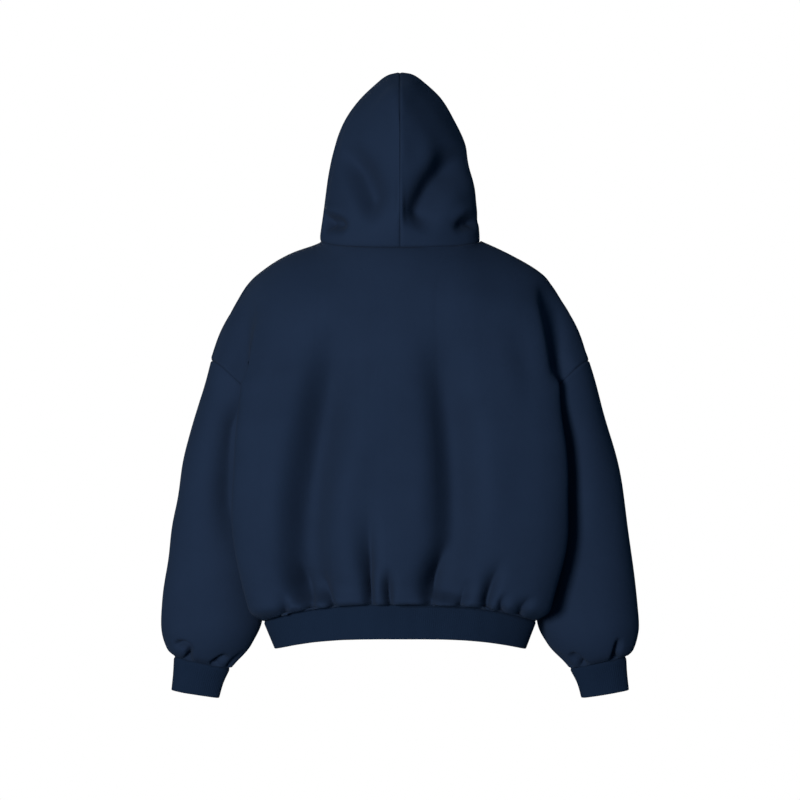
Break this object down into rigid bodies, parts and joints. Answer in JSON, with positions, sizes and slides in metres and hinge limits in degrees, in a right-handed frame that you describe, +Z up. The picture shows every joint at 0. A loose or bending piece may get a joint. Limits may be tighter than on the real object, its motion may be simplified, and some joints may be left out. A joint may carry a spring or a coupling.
{
  "type": "pullover hoodie",
  "caption": "Pullover hoodie filled out as worn, with nobody in it: raised two-panel hood, dropped shoulders, full sleeves gathered into rib cuffs, body gathered into a rib hem band.",
  "frame": {"origin": "middle of the neck opening, at the height where the shoulder seams meet it and the wearer's shoulders carry the garment", "axes": "+Z up, +Y out of the back, -Y out of the front, +X towards the wearer's left arm"},
  "size_m": [0.7722, 0.2532, 1.0074],
  "materials": {
    "fleece": "matt, soft, faintly napped navy cotton fleece",
    "rib": "matt navy cotton rib knit, a little darker than the fleece"
  },
  "bodies": {
    "root": {"back": "fleece", "front": "fleece", "sleeve_left": "fleece", "sleeve_right": "fleece", "hood_left": "fleece", "hood_right": "fleece", "hem_band": "rib", "cuff_left": "rib", "cuff_right": "rib"}
  },
  "joints": []
}
